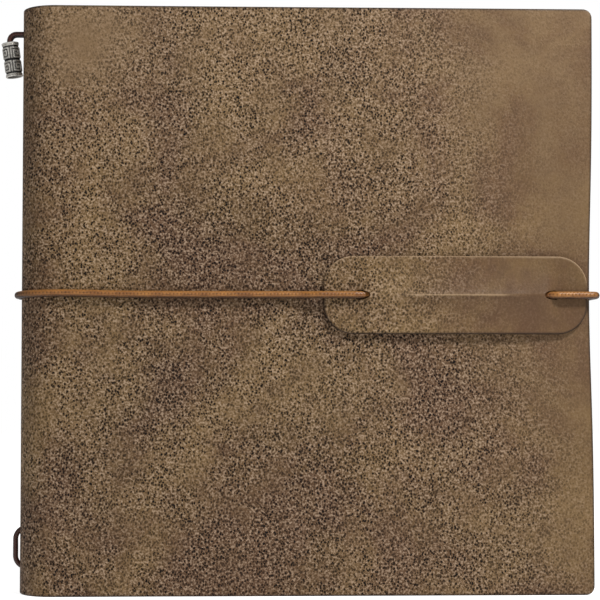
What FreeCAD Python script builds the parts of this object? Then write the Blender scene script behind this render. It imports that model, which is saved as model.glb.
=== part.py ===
import FreeCAD, Part
import math
import os
import re
import Sketcher

# A square leather scrapbook album of the refillable kind. It stands on its foot: +X runs from the
# spine to the fore-edge, +Z up its height, and the front cover faces -Y. The origin is on the foot of
# the spine, halfway through the leather.

Vector = FreeCAD.Vector
doc = FreeCAD.newDocument("scrapbook_album")
sheet = doc.addObject("Spreadsheet::Sheet", "Dimensions")

DIMENSIONS = {
    # leather cover
    "album_height": 215.0,
    "leather_thick": 1.8,
    "spine_mid_radius": 12.1,
    "cover_reach": 209.1,
    "cover_corner": 3.3,
    "cover_bevel": 0.3,
    "seam_gap": 0.95,
    # booklets
    "page_foot": 6.0,
    "page_height": 203.0,
    "page_reach": 204.0,
    "booklet_pitch": 5.5,
    "fold_radius": 2.6,
    "inner_fold": 7.8,
    "outer_fold": 10.1,
    "fold_reach": 13.1,
    "slit_width": 0.24,
    "leaf_axis": 13.6,
    "root_radius": 0.3,
    "root_taper": 6.0,
    "leaf_thick": 2.45,
    # cords and bands
    "closure_radius": 1.35,
    "closure_height": 109.2,
    "binding_radius": 0.95,
    "binding_channel": 1.1,
    "band_radius": 0.6,
    "band_channel": 0.75,
    "rest_gap": 0.05,
    "closure_knot_x": 3.4,
    "closure_knot_radius": 2.3,
    # holes in the spine
    "head_hole": 206.3,
    "upper_foot_hole": 24.0,
    "lower_foot_hole": 9.5,
    "binding_hole": 2.4,
    "head_hole_width": 4.3,
    "strand_offset": 1.0,
    "loop_bow": 2.6,
    "strand_behind_folds": 3.0,
    "closure_hole_width": 6.3,
    "closure_hole_tall": 3.3,
    # closure tab
    "tab_start": 109.9,
    "tab_length": 97.4,
    "tab_width": 28.5,
    "tab_thick": 1.6,
    "tab_corner": 11.0,
    "tab_lift": 2.9,
    "tab_flat": 9.4,
    "slot_length": 7.5,
    "slot_tall": 3.2,
    # bead
    "bead_radius": 3.2,
    "bead_length": 12.8,
    "bead_tilt": 8.0,
    "bead_out": 5.1,
    "bead_height": 196.75,
    "bead_bore": 2.1,
    "knot_bore": 2.45,
    "knot_bore_deep": 4.6,
    "rim_tall": 0.8,
    "rim_gap": 0.5,
    "relief_deep": 0.35,
    "relief_tall": 3.6,
    "relief_wide": 1.9,
    "stroke": 0.48,
}

for row, (alias, number) in enumerate(DIMENSIONS.items(), start=1):
    sheet.set(f"A{row}", alias)
    sheet.set(f"B{row}", str(number))
    sheet.setAlias(f"B{row}", alias)
doc.recompute()


def bound(text):
    """An expression in which every alias stands for its cell of the sheet."""
    return re.sub(
        r"[a-z_]+",
        lambda word: f"Dimensions.{word[0]}" if word[0] in DIMENSIONS else word[0],
        text,
    )


def size(text):
    """The number that an expression of aliases comes to."""
    return float(sheet.evalExpression(bound(text)))


# Sketches: every point is tied to the sheet -----------------------------------------------------------

ORIGIN = (-1, 1)
HORIZONTAL_AXIS = -1
VERTICAL_AXIS = -2
FIRST = 1
LAST = 2
CENTRE = 3


def new_body(label):
    body = doc.addObject("PartDesign::Body", label)
    body.Label = label
    return body


def place(obj, x="0", y="0", z="0"):
    """Ties the object's position to the sheet."""
    for axis, text in (("x", x), ("y", y), ("z", z)):
        obj.setExpression(f"Placement.Base.{axis}", bound(text))


def new_sketch(body, role, name, offset=None):
    """A sketch on one of the body's origin planes, moved along that plane's normal by offset."""
    sketch = body.newObject("Sketcher::SketchObject", f"{body.Label}_{name}")
    plane = next(item for item in body.Origin.OriginFeatures if item.Role == role)
    sketch.AttachmentSupport = [(plane, "")]
    sketch.MapMode = "FlatFace"
    if offset is not None:
        sketch.setExpression("AttachmentOffset.Base.z", bound(offset))
    return sketch


def bind(sketch, kind, places, text):
    """A dimension of a sketch, tied to the sheet."""
    index = sketch.addConstraint(Sketcher.Constraint(kind, *places, size(text)))
    sketch.setExpression(f"Constraints[{index}]", bound(text))


def join(sketch, first, second):
    sketch.addConstraint(Sketcher.Constraint("Coincident", *first, *second))


def pin(sketch, point, x=None, y=None):
    """Holds one point of a sketch at x and y, which are expressions, or leaves None free."""
    for kind, axis, text in (("DistanceX", VERTICAL_AXIS, x), ("DistanceY", HORIZONTAL_AXIS, y)):
        if text is None:
            continue
        distance = size(text)
        if abs(distance) < 1e-9:
            sketch.addConstraint(Sketcher.Constraint("PointOnObject", *point, axis))
        elif distance > 0:
            bind(sketch, kind, (*ORIGIN, *point), text)
        else:
            bind(sketch, kind, (*point, *ORIGIN), f"-({text})")


def line(sketch, start, end):
    """A line between two (x, y) pairs of expressions, not yet held."""
    ends = [Vector(size(x), size(y), 0) for x, y in (start, end)]
    return sketch.addGeometry(Part.LineSegment(*ends), False)


def arc(sketch, radius, start, end, x="0", y="0"):
    """An arc about (x, y), anticlockwise from start to end in degrees, its centre and radius held."""
    centre = Vector(size(x), size(y), 0)
    ring = Part.Circle(centre, Vector(0, 0, 1), size(radius))
    geometry = Part.ArcOfCircle(ring, math.radians(start), math.radians(end))
    index = sketch.addGeometry(geometry, False)
    pin(sketch, (index, CENTRE), x, y)
    bind(sketch, "Radius", (index,), radius)
    return index


def circle(sketch, radius, x="0", y="0"):
    ring = Part.Circle(Vector(size(x), size(y), 0), Vector(0, 0, 1), size(radius))
    index = sketch.addGeometry(ring, False)
    pin(sketch, (index, CENTRE), x, y)
    bind(sketch, "Radius", (index,), radius)


def polygon(sketch, points):
    """A closed outline through (x, y) pairs of expressions."""
    sides = [line(sketch, a, b) for a, b in zip(points, points[1:] + points[:1])]
    for side, following in zip(sides, sides[1:] + sides[:1]):
        join(sketch, (side, LAST), (following, FIRST))
    for side, (x, y) in zip(sides, points):
        pin(sketch, (side, FIRST), x, y)


def rectangle(sketch, left, right, bottom, top):
    polygon(sketch, [(left, bottom), (right, bottom), (right, top), (left, top)])


def chain(sketch, pieces):
    """Joins the end of each piece to the start of the next one, round to the first."""
    for piece, following in zip(pieces, pieces[1:] + pieces[:1]):
        join(sketch, (piece, LAST), (following, FIRST))


def obround(sketch, length, width, x="0", y="0"):
    """A slot with round ends about (x, y), its length along the sketch's x axis."""
    reach = f"({length} - {width}) / 2"
    left = arc(sketch, f"{width} / 2", 90, 270, f"{x} - {reach}", y)
    right = arc(sketch, f"{width} / 2", 270, 450, f"{x} + {reach}", y)
    bottom, top = f"{y} - {width} / 2", f"{y} + {width} / 2"
    lower = line(sketch, (f"{x} - {reach}", bottom), (f"{x} + {reach}", bottom))
    upper = line(sketch, (f"{x} + {reach}", top), (f"{x} - {reach}", top))
    chain(sketch, [left, lower, right, upper])
    for end in (left, right):
        for point in (FIRST, LAST):
            sketch.addConstraint(Sketcher.Constraint("Vertical", end, CENTRE, end, point))


def pad(body, sketch, name, length):
    feature = body.newObject("PartDesign::Pad", f"{body.Label}_{name}")
    feature.Profile = sketch
    feature.setExpression("Length", bound(length))
    sketch.Visibility = False
    return feature


def cut_through(body, sketch, name, both_ways=False):
    """Removes the sketch's outline from the body, against the sketch's normal or both ways."""
    before = body_volume(body)
    feature = body.newObject("PartDesign::Pocket", f"{body.Label}_{name}")
    feature.Profile = sketch
    feature.Type = "ThroughAll"
    feature.Midplane = both_ways
    sketch.Visibility = False
    if not body_volume(body) < before:
        raise RuntimeError(f"{feature.Name} removes nothing")
    return feature


def body_volume(body):
    doc.recompute()
    return body.Shape.Volume


def fillet(body, name, edges, radius):
    """Rounds the edges of the body's last feature that the test edges() picks."""
    doc.recompute()
    last = body.Tip
    names = [f"Edge{n}" for n, edge in enumerate(last.Shape.Edges, start=1) if edges(edge)]
    feature = body.newObject("PartDesign::Fillet", f"{body.Label}_{name}")
    feature.Base = (last, names)
    feature.setExpression("Radius", bound(radius))
    return feature


def ends_of(edge):
    return [vertex.Point for vertex in edge.Vertexes]


# The leather cover ------------------------------------------------------------------------------------


def build_spine():
    """Half a tube of leather that opens to +X, with the holes for the cords."""
    body = new_body("spine_leather")
    outline = new_sketch(body, "XY_Plane", "outline")
    outer = arc(outline, "spine_mid_radius + leather_thick / 2", 95, 265)
    inner = arc(outline, "spine_mid_radius - leather_thick / 2", 95, 265)
    rims = []
    for side in (-1, 1):
        near = f"{side} * (spine_mid_radius - leather_thick / 2)"
        far = f"{side} * (spine_mid_radius + leather_thick / 2)"
        rim = line(outline, ("-seam_gap", near), ("-seam_gap", far))
        outline.addConstraint(Sketcher.Constraint("Vertical", rim))
        pin(outline, (rim, FIRST), x="-seam_gap")
        rims.append(rim)
    for rim, end in zip(rims, (LAST, FIRST)):
        join(outline, (rim, FIRST), (inner, end))
        join(outline, (rim, LAST), (outer, end))
    pad(body, outline, "tube", "album_height")

    for height in ("upper_foot_hole", "lower_foot_hole"):
        hole = new_sketch(body, "YZ_Plane", height)
        circle(hole, "binding_hole / 2", "0", height)
        cut_through(body, hole, f"{height}_cut")
    for height, length, width in (
        ("head_hole", "head_hole_width", "binding_hole"),
        ("closure_height", "closure_hole_width", "closure_hole_tall"),
    ):
        hole = new_sketch(body, "YZ_Plane", height)
        obround(hole, length, width, "0", height)
        cut_through(body, hole, f"{height}_cut")
    place(body, x="spine_mid_radius")
    return body


def round_ended_strip(sketch, thick, reach):
    """A strip along +X whose near end is a half circle about the sketch's origin."""
    half = f"{thick} / 2"
    nose = arc(sketch, half, 90, 270)
    lower = line(sketch, ("0", f"-{half}"), (reach, f"-{half}"))
    end = line(sketch, (reach, f"-{half}"), (reach, half))
    upper = line(sketch, (reach, half), ("0", half))
    chain(sketch, [nose, lower, end, upper])
    for point in (FIRST, LAST):
        pin(sketch, (nose, point), x="0")
    for side in (lower, upper):
        sketch.addConstraint(Sketcher.Constraint("Horizontal", side))
    sketch.addConstraint(Sketcher.Constraint("Vertical", end))
    pin(sketch, (end, FIRST), x=reach)


def build_cover(label, side):
    """A flat leather board whose round near edge turns about the hinge line. side is -1 at the front."""
    body = new_body(label)
    outline = new_sketch(body, "XY_Plane", "outline")
    reach = "cover_reach - spine_mid_radius"
    round_ended_strip(outline, "leather_thick", reach)
    pad(body, outline, "board", "album_height")

    def is_corner(edge):
        first, last = ends_of(edge)
        far = min(first.x, last.x) > size(reach) - 0.01
        return far and abs(first.z - last.z) < 0.01

    def is_outer_edge(edge):
        if len(edge.Vertexes) < 2:
            return False
        first, last = ends_of(edge)
        face = abs(abs(first.y) - size("leather_thick / 2")) < 0.01
        along = abs(first.y - last.y) < 0.01
        upright_at_hinge = max(first.x, last.x) < 0.01
        return face and along and not upright_at_hinge

    fillet(body, "corners", is_corner, "cover_corner")
    fillet(body, "bevel", is_outer_edge, "cover_bevel")
    place(body, x="spine_mid_radius", y=f"{side} * spine_mid_radius")
    return body


spine = build_spine()
front_cover = build_cover("front_cover", -1)
back_cover = build_cover("back_cover", 1)


# The leather keeper on the closure cord ---------------------------------------------------------------


def rounded_outline(sketch, length, width, radius):
    """A rounded rectangle from x = 0 to length, centred on y = 0."""
    low, high = f"{radius}", f"{length} - {radius}"
    bottom, top = f"-({width} / 2 - {radius})", f"{width} / 2 - {radius}"
    corners = [
        arc(sketch, radius, 180, 270, low, bottom),
        arc(sketch, radius, 270, 360, high, bottom),
        arc(sketch, radius, 0, 90, high, top),
        arc(sketch, radius, 90, 180, low, top),
    ]
    sides = [
        line(sketch, (low, f"-{width} / 2"), (high, f"-{width} / 2")),
        line(sketch, (length, bottom), (length, top)),
        line(sketch, (high, f"{width} / 2"), (low, f"{width} / 2")),
        line(sketch, ("0", top), ("0", bottom)),
    ]
    chain(sketch, [piece for pair in zip(corners, sides) for piece in pair])
    for number, corner in enumerate(corners):
        upright_first = number % 2 == 1
        for point, kind in (
            (FIRST, "Vertical" if upright_first else "Horizontal"),
            (LAST, "Horizontal" if upright_first else "Vertical"),
        ):
            sketch.addConstraint(Sketcher.Constraint(kind, corner, CENTRE, corner, point))


def tab_section(body, name, along, lift):
    """The tab's cross-section at one distance from its spine end: a low roof over the cord."""
    sketch = new_sketch(body, "YZ_Plane", name, offset=along)
    half = "tab_width / 2"
    eaves, ridge = "0", f"-({lift})"
    polygon(
        sketch,
        [
            (eaves, f"-{half}"),
            (ridge, "0"),
            (eaves, half),
            (f"{eaves} - tab_thick", half),
            (f"{ridge} - tab_thick", "0"),
            (f"{eaves} - tab_thick", f"-{half}"),
        ],
    )
    sketch.Visibility = False
    return sketch


def build_tab():
    """A keeper with flat ends under the cord and a low roof over it between the two slits."""
    body = new_body("closure_tab")
    flat, low = "tab_flat", "0"
    stations = [
        ("0", low),
        (flat, low),
        (f"{flat} + slot_length", "tab_lift"),
        (f"tab_length - {flat} - slot_length", "tab_lift"),
        (f"tab_length - {flat}", low),
        ("tab_length", low),
    ]
    sections = [
        tab_section(body, f"section_{number}", along, lift)
        for number, (along, lift) in enumerate(stations)
    ]
    doc.recompute()
    roof = body.newObject("PartDesign::AdditiveLoft", "closure_tab_roof")
    roof.Profile = sections[0]
    roof.Sections = sections[1:]
    roof.Ruled = True

    margin = "tab_corner"
    trim = new_sketch(body, "XZ_Plane", "trim")
    outside = f"tab_width / 2 + {margin}"
    rectangle(trim, f"-{margin}", f"tab_length + {margin}", f"-({outside})", outside)
    rounded_outline(trim, "tab_length", "tab_width", "tab_corner")
    cut_through(body, trim, "trim_cut", both_ways=True)

    slits = new_sketch(body, "XZ_Plane", "slits")
    for middle in (f"{flat} + slot_length / 2", f"tab_length - {flat} - slot_length / 2"):
        obround(slits, "slot_length", "slot_tall", middle)
    cut_through(body, slits, "slit_cut", both_ways=True)
    face = "spine_mid_radius + leather_thick / 2 + rest_gap"
    place(body, x="tab_start", y=f"-({face})", z="closure_height")
    return body


tab = build_tab()


# The booklets -----------------------------------------------------------------------------------------


def build_fold(number):
    """The folded back of a booklet: a U of paper with a channel for each cord that runs in it."""
    body = new_body(f"booklet_{number}_fold")
    is_inner = number in (2, 3)
    middle = "inner_fold" if is_inner else "outer_fold"
    outline = new_sketch(body, "XY_Plane", "outline")
    round_ended_strip(outline, "2 * fold_radius", f"fold_reach - {middle}")
    pad(body, outline, "paper", "page_height")

    channels = new_sketch(body, "XY_Plane", "channels")
    circle(channels, "band_channel", f"outer_fold - {middle}", "0")
    if is_inner:
        circle(channels, "binding_channel", "0", "0")
    cut_through(body, channels, "channel_cut", both_ways=True)
    slit = new_sketch(body, "XY_Plane", "slit")
    rectangle(slit, "0", f"fold_reach - {middle} + 1", "-slit_width / 2", "slit_width / 2")
    cut_through(body, slit, "slit_cut", both_ways=True)
    place(body, x=middle, y=booklet_middle(number), z="page_foot")
    return body


def booklet_middle(number):
    return f"({number} - 2.5) * booklet_pitch"


def build_leaves(number, side):
    """Half of a booklet's leaves, thin and round at the root where they turn. side is -1 at the front."""
    label = "front" if side < 0 else "back"
    body = new_body(f"booklet_{number}_{label}_leaves")
    outline = new_sketch(body, "XY_Plane", "outline")
    root = arc(outline, "root_radius", 90, 270)
    reach, half = "page_reach - leaf_axis", "leaf_thick / 2"
    stops = [
        ("0", "-root_radius"),
        ("root_taper", f"-{half}"),
        (reach, f"-{half}"),
        (reach, half),
        ("root_taper", half),
        ("0", "root_radius"),
    ]
    sides = [line(outline, a, b) for a, b in zip(stops, stops[1:])]
    chain(outline, [root, *sides])
    for point in (FIRST, LAST):
        pin(outline, (root, point), x="0")
    for edge, (x, y) in zip(sides[1:], stops[1:-1]):
        pin(outline, (edge, FIRST), x, y)
    pad(body, outline, "paper", "page_height")
    middle = f"{booklet_middle(number)} + {side} * booklet_pitch / 4"
    place(body, x="leaf_axis", y=middle, z="page_foot")
    return body


booklets = []
for booklet in (1, 2, 3, 4):
    booklets.append(build_fold(booklet))
    booklets.append(build_leaves(booklet, -1))
    booklets.append(build_leaves(booklet, 1))


# The bead ---------------------------------------------------------------------------------------------


def comb(sketch, x, y, side):
    """A three-toothed comb about (x, y), its teeth towards side (1 or -1 along the sketch's x)."""
    back = f"{x} - {side} * relief_wide / 2"
    root = f"{back} + {side} * stroke"
    tip = f"{x} + {side} * relief_wide / 2"
    low, high = f"{y} - relief_tall / 2", f"{y} + relief_tall / 2"
    points = [
        (back, low),
        (tip, low),
        (tip, f"{low} + stroke"),
        (root, f"{low} + stroke"),
        (root, f"{y} - stroke / 2"),
        (tip, f"{y} - stroke / 2"),
        (tip, f"{y} + stroke / 2"),
        (root, f"{y} + stroke / 2"),
        (root, f"{high} - stroke"),
        (tip, f"{high} - stroke"),
        (tip, high),
        (back, high),
    ]
    polygon(sketch, points)


RELIEF_REPEATS = 8


def build_bead():
    """A barrel bead with a rim at each end, a comb relief, and a wider bore for the knot at its foot."""
    body = new_body("spine_bead")
    half, neck = "bead_length / 2", "bead_radius - relief_deep"
    rim, groove = f"{half} - rim_tall", f"{half} - rim_tall - rim_gap"
    profile = new_sketch(body, "XZ_Plane", "profile")
    polygon(
        profile,
        [
            ("bead_bore", half),
            ("bead_bore", f"knot_bore_deep - {half}"),
            ("knot_bore", f"knot_bore_deep - {half}"),
            ("knot_bore", f"-({half})"),
            ("bead_radius", f"-({half})"),
            ("bead_radius", f"-({rim})"),
            (neck, f"-({rim})"),
            (neck, f"-({groove})"),
            ("bead_radius", f"-({groove})"),
            ("bead_radius", groove),
            (neck, groove),
            (neck, rim),
            ("bead_radius", rim),
            ("bead_radius", half),
        ],
    )
    barrel = body.newObject("PartDesign::Revolution", "spine_bead_barrel")
    barrel.Profile = profile
    barrel.ReferenceAxis = (profile, ["V_Axis"])
    barrel.Angle = 360

    relief = new_sketch(body, "XZ_Plane", "relief", offset="bead_radius")
    for up in (-1, 1):
        comb(relief, "0", f"{up} * (relief_tall + stroke) / 2", up)
    before = body_volume(body)
    combs = body.newObject("PartDesign::Pocket", "spine_bead_combs")
    combs.Profile = relief
    combs.setExpression("Length", bound("relief_deep"))
    if not body_volume(body) < before:
        raise RuntimeError("the bead's relief removes nothing")
    ring = body.newObject("PartDesign::PolarPattern", "spine_bead_ring")
    ring.Originals = [combs]
    ring.Axis = (next(item for item in body.Origin.OriginFeatures if item.Role == "Z_Axis"), [""])
    ring.Angle = 360
    ring.Occurrences = RELIEF_REPEATS
    body.Tip = ring
    tilt = FreeCAD.Rotation(Vector(0, -1, 0), size("bead_tilt"))
    body.Placement = FreeCAD.Placement(Vector(), tilt)
    place(body, x="-bead_out", z="bead_height")
    return body


bead = build_bead()


# Cords and bands --------------------------------------------------------------------------------------


def rounded_path(points, radii):
    """Edges of a path through points, with radii[n] rounding the corner at points[n + 1]."""
    edges = []
    start = points[0]
    for before, corner, after, radius in zip(points, points[1:], points[2:], radii):
        into = (corner - before).normalize()
        away = (after - corner).normalize()
        turn = into.getAngle(away)
        run = radius * math.tan(turn / 2)
        first, last = corner - into * run, corner + away * run
        inward = (away - into).normalize()
        centre = corner + inward * (radius / math.cos(turn / 2))
        add_run(edges, start, first)
        edges.append(Part.Arc(first, centre - inward * radius, last).toShape())
        start = last
    add_run(edges, start, points[-1])
    return edges


def add_run(edges, start, end):
    if (end - start).Length > 1e-6:
        edges.append(Part.LineSegment(start, end).toShape())


def cord_along(edges, radius):
    """A round cord with its middle on the path that the edges make."""
    path = Part.Wire(Part.__sortEdges__(edges))
    first = path.OrderedEdges[0]
    heading = first.tangentAt(first.FirstParameter)
    ring = Part.Circle(path.OrderedVertexes[0].Point, heading, radius)
    section = Part.Wire([ring.toShape()])
    return path.makePipeShell([section], True, False)


def cord_object(label, shape):
    feature = doc.addObject("Part::Feature", label)
    feature.Label = label
    feature.Shape = shape
    return feature


def bead_point(along, y):
    """A point of the frame that is this far up the bead's tilted axis, y to its side."""
    tilt = math.radians(size("bead_tilt"))
    x = -size("bead_out") - along * math.sin(tilt)
    return Vector(x, y, size("bead_height") + along * math.cos(tilt))


LOOSE_BEND = 2.6
TIGHT_BEND = 1.3
LOOP_BEND = 1.7
EASY_BEND = 6.0


def build_band(label, first_booklet):
    """A thin loop through the folds of two booklets, over their heads and under their feet."""
    near = size(booklet_middle(first_booklet))
    far = near + size("booklet_pitch")
    clear = size("band_radius + band_channel / 2")
    foot = size("page_foot") - clear
    head = size("page_foot + page_height") + clear
    middle = (foot + head) / 2
    corners = [(near, middle), (near, head), (far, head), (far, foot), (near, foot), (near, middle)]
    points = [Vector(size("outer_fold"), y, z) for y, z in corners]
    return cord_object(label, cord_along(rounded_path(points, [TIGHT_BEND] * 4), size("band_radius")))


bands = [build_band("connecting_band_front", 1), build_band("connecting_band_back", 3)]


PAPER_ROOM = 0.35  # between the cord's bend and the paper's head or foot
KNOT_ROOM = 0.15  # round the knot in its bore
KNOT_INSET = 0.1  # from the bead's foot up to the knot


def build_binding_cord():
    """One cord from a knot in the bead, in at the head, down booklet 3, out and in again at the foot, up
    booklet 2, and back out at the head to the same knot."""
    behind, channel = size("strand_behind_folds"), size("inner_fold")
    turn = (channel - behind) / 2
    head, upper, lower = (size(hole) for hole in ("head_hole", "upper_foot_hole", "lower_foot_hole"))
    over = size("page_foot + page_height + rest_gap") + PAPER_ROOM + turn
    under = size("page_foot - rest_gap") - PAPER_ROOM - turn
    aside = size("booklet_pitch / 2")
    bow = -size("loop_bow")
    knot_radius = size("knot_bore") - KNOT_ROOM
    knot_up = knot_radius + KNOT_INSET - size("bead_length / 2")
    above_bead = (head - size("bead_height")) / math.cos(math.radians(size("bead_tilt")))

    def head_points(side):
        """From the knot to the top of the booklet's channel."""
        y = side * size("strand_offset")
        return [
            bead_point(knot_up, y),
            bead_point(above_bead, y),
            Vector(behind, y, head),
            Vector(behind, side * aside, over),
            Vector(channel, side * aside, over),
        ]

    head_radii = [LOOSE_BEND, TIGHT_BEND, turn, turn]
    foot_points = [
        Vector(channel, aside, under),
        Vector(behind, aside, under),
        Vector(behind, 0, lower),
        Vector(bow, 0, lower),
        Vector(bow, 0, upper),
        Vector(behind, 0, upper),
        Vector(behind, -aside, (upper + lower) / 2),
        Vector(behind, -aside, under),
        Vector(channel, -aside, under),
    ]
    foot_radii = [turn, turn, TIGHT_BEND, LOOP_BEND, LOOP_BEND, TIGHT_BEND, EASY_BEND, turn, turn]
    points = head_points(1) + foot_points + head_points(-1)[::-1]
    radii = head_radii + foot_radii + head_radii[::-1]
    cord = cord_along(rounded_path(points, radii), size("binding_radius"))
    knot = Part.makeSphere(knot_radius, bead_point(knot_up, 0))
    return cord_object("binding_cord", cord.fuse(knot).removeSplitter())


binding_cord = build_binding_cord()

CORNER_BEND = 2.6
BACK_CORNER_BEND = 1.8
WEAVE_BEND = 4.0
RAMP_BEND = 6.0
HOLE_BEND = 1.7
FORE_EDGE_ROOM = 1.5  # from the covers' fore-edge to the cord's middle
RAMP_START, RAMP_END = 8.0, 1.5  # where the cord climbs onto the tab, measured back from the tab's end
SLIT_MARGIN = 0.7  # from each end of a slit to where the cord enters or leaves it


def spine_wrap(side, level, wrap, strand):
    """The cord's path from inside the middle hole round the outside of the spine to one cover."""
    spine_x = size("spine_mid_radius")
    bend_y = strand + HOLE_BEND
    bend_x = spine_x - math.sqrt((wrap - HOLE_BEND) ** 2 - bend_y**2)
    meeting = math.atan2(bend_y, bend_x - spine_x)
    start = 1.5 * math.pi

    def around(x, y, radius, angle):
        return Vector(x + radius * math.cos(angle), side * (y + radius * math.sin(angle)), level)

    hole_bend = [around(bend_x, bend_y, HOLE_BEND, a) for a in (start, (start + meeting) / 2, meeting)]
    quarter = math.pi / 2
    hug = [around(spine_x, 0, wrap, a) for a in (meeting, (meeting + quarter) / 2, quarter)]
    edges = [Part.Arc(*hole_bend).toShape(), Part.Arc(*hug).toShape()]
    add_run(edges, Vector(size("closure_knot_x"), side * strand, level), hole_bend[0])
    return edges


def build_closure_cord():
    """A loop from a knot inside the spine, out through the middle hole, along the front cover and through
    the tab, round the fore-edge and back along the other cover."""
    radius, level = size("closure_radius"), size("closure_height")
    gap = size("rest_gap")
    face = size("spine_mid_radius + leather_thick / 2")
    wrap = face + gap + radius
    over_tab = face + size("tab_thick") + 2 * gap + radius
    around_edge = size("cover_reach") + FORE_EDGE_ROOM
    strand = radius + gap
    spine_x = size("spine_mid_radius")
    tab_start, tab_end = size("tab_start"), size("tab_start + tab_length")
    slit = size("tab_flat") + SLIT_MARGIN
    slit_end = size("tab_flat + slot_length") - SLIT_MARGIN
    path = [
        (spine_x, -wrap),
        (tab_start - RAMP_START, -wrap),
        (tab_start - RAMP_END, -over_tab),
        (tab_start + slit, -over_tab),
        (tab_start + slit_end, -wrap),
        (tab_end - slit_end, -wrap),
        (tab_end - slit, -over_tab),
        (around_edge, -over_tab),
        (around_edge, wrap),
        (spine_x, wrap),
    ]
    radii = [RAMP_BEND] * 2 + [WEAVE_BEND] * 4 + [CORNER_BEND, BACK_CORNER_BEND]
    edges = rounded_path([Vector(x, y, level) for x, y in path], radii)
    for side in (-1, 1):
        edges += spine_wrap(side, level, wrap, strand)
    cord = cord_along(edges, radius)
    knot = Part.makeSphere(size("closure_knot_radius"), Vector(size("closure_knot_x"), 0, level))
    return cord_object("closure_cord", cord.fuse(knot).removeSplitter())


closure_cord = build_closure_cord()


# Checks and files -------------------------------------------------------------------------------------

doc.recompute()
for item in doc.Objects:
    if "Invalid" in item.State or "Error" in item.State:
        raise RuntimeError(f"{item.Name} is {item.State}")

pieces = [spine, front_cover, back_cover, tab, closure_cord, binding_cord, bead, *booklets, *bands]
for piece in pieces:
    shape = piece.Shape
    if shape.isNull() or not shape.isValid() or len(shape.Solids) != 1:
        raise RuntimeError(f"{piece.Label} is not one valid solid")

os.makedirs("parts", exist_ok=True)
for piece in pieces:
    piece.Shape.exportStep(f"parts/{piece.Label}.step")
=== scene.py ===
import math

import bmesh
import bpy
import numpy as np
from mathutils import Matrix, Vector


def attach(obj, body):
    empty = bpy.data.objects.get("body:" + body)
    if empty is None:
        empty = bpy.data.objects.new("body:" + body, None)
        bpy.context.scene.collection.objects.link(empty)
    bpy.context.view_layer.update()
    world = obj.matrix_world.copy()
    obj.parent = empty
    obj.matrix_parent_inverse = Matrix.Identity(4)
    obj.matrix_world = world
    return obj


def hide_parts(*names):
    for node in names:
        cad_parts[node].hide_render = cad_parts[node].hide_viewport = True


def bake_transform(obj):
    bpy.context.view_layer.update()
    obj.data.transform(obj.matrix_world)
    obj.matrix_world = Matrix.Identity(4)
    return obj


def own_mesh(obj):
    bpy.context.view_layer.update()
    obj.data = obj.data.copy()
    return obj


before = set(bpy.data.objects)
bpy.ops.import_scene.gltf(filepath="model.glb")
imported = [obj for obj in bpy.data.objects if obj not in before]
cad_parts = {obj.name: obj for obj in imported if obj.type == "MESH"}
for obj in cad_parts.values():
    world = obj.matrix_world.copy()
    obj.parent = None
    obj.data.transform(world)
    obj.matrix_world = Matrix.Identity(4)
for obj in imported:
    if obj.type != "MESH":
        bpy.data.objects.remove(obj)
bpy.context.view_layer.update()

MM = 0.001
RNG = np.random.default_rng(7)

# The album's own sizes, in mm, as in its drawing
HEIGHT = 215.0
LEATHER = 1.8
SPINE_X = 12.1
FORE_EDGE = 209.1
CORNER = 3.3
PAGE_FOOT = 6.0
PAGE_TOP = 209.0
PAGE_REACH = 204.0
CORD_R = 1.35
CORD_Z = 109.2
BINDING_R = 0.95
TAB_START = 109.9
TAB_LENGTH = 97.4
TAB_WIDTH = 28.5
TAB_THICK = 1.6
TAB_FACE = 13.05
BEAD_TILT = math.radians(8.0)


# Meshes ----------------------------------------------------------------------------------------------


def new_object(name, verts, faces, materials, face_slots=None, smooth=True):
    """An object from points in mm and lists of corner numbers."""
    mesh = bpy.data.meshes.new(name)
    points = np.asarray(verts, float) * MM
    mesh.from_pydata(points.tolist(), [], [tuple(int(i) for i in f) for f in faces])
    for material in materials:
        mesh.materials.append(material)
    if face_slots is not None:
        mesh.polygons.foreach_set("material_index", np.asarray(face_slots, np.int32))
    mesh.polygons.foreach_set("use_smooth", [smooth] * len(mesh.polygons))
    mesh.update()
    obj = bpy.data.objects.new(name, mesh)
    bpy.context.scene.collection.objects.link(obj)
    return obj


def smoothstep(x, low, high):
    share = np.clip((np.asarray(x, float) - low) / (high - low), 0, 1)
    return share * share * (3 - 2 * share)


def grid_faces(rows, columns, start=0, flip=False, wrap=False):
    """Quads of a grid whose point (i, j) is number start + i * columns + j; wrap closes the columns."""
    faces = []
    last = columns if wrap else columns - 1
    for i in range(rows - 1):
        for j in range(last):
            k = (j + 1) % columns
            a, b = start + i * columns + j, start + i * columns + k
            c, d = b + columns, a + columns
            faces.append((a, d, c, b) if flip else (a, b, c, d))
    return faces


def frames_along(path):
    """(side, up) unit pairs carried along a path without twist."""
    tangents = np.gradient(path, axis=0)
    tangents /= np.linalg.norm(tangents, axis=1)[:, None]
    side = np.cross(tangents[0], (0.31, 0.52, 0.79))
    frames = []
    for t in tangents:
        side = side - t * (side @ t)
        side /= np.linalg.norm(side)
        frames.append((side.copy(), np.cross(t, side)))
    return frames


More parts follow.
